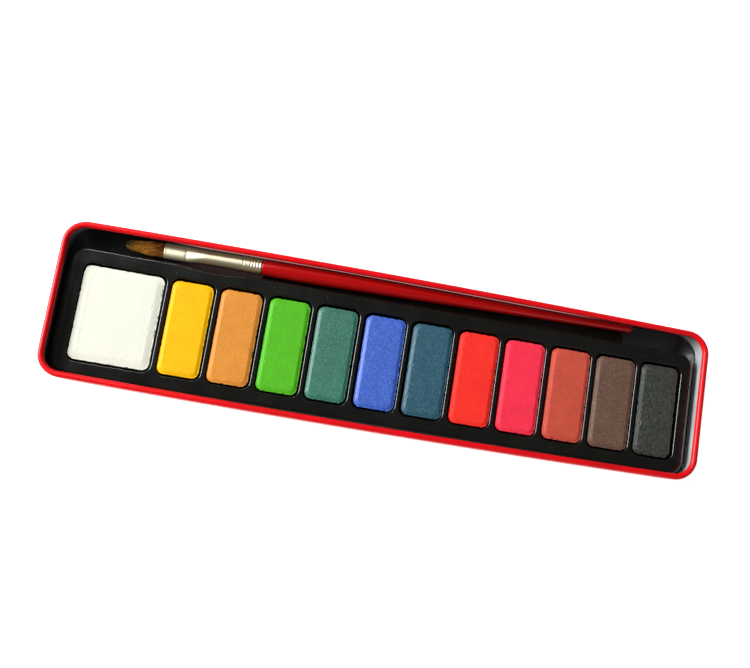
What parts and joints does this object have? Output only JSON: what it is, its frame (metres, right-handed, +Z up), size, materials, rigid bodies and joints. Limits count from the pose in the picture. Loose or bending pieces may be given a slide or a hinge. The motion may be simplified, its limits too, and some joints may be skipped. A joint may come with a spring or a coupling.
{
  "type": "watercolour paint set",
  "caption": "Long flat tin of watercolour paints: a black formed tray with a large white cake, a row of narrow coloured cakes, and a flat brush in a trough along the back.",
  "frame": {"origin": "middle of the tin's underside, on the surface it stands on", "axes": "+X along the tin, from the white cake to the black one; +Y towards the brush; +Z up"},
  "size_m": [0.232, 0.0558, 0.013],
  "materials": {
    "red_tin": "glossy lacquer",
    "black_tray": "satin",
    "red_handle": "gloss lacquer",
    "ferrule_metal": "satin",
    "bristle_hair": "silky hair",
    "paint_white": "matt powder",
    "paint_yellow": "matt powder",
    "paint_ochre": "matt powder",
    "paint_green": "matt powder",
    "paint_dark_green": "matt powder",
    "paint_blue": "matt powder",
    "paint_indigo": "matt powder",
    "paint_red": "matt powder",
    "paint_crimson": "matt powder",
    "paint_red_brown": "matt powder",
    "paint_umber": "matt powder",
    "paint_black": "matt powder"
  },
  "bodies": {
    "paint_box": {"tin_body": "red_tin", "paint_tray": "black_tray", "cake_white": "paint_white", "cake_yellow": "paint_yellow", "cake_ochre": "paint_ochre", "cake_green": "paint_green", "cake_dark_green": "paint_dark_green", "cake_blue": "paint_blue", "cake_indigo": "paint_indigo", "cake_red": "paint_red", "cake_crimson": "paint_crimson", "cake_red_brown": "paint_red_brown", "cake_umber": "paint_umber", "cake_black": "paint_black"},
    "brush": {"brush_handle": "red_handle", "brush_ferrule": "ferrule_metal", "brush_bristles": "bristle_hair"}
  },
  "joints": [
    {"name": "brush_lift", "type": "slide", "parent": "paint_box", "child": "brush", "axis": [0, -0.3162, 0.9487], "range_m": [0, 0.03]}
  ]
}
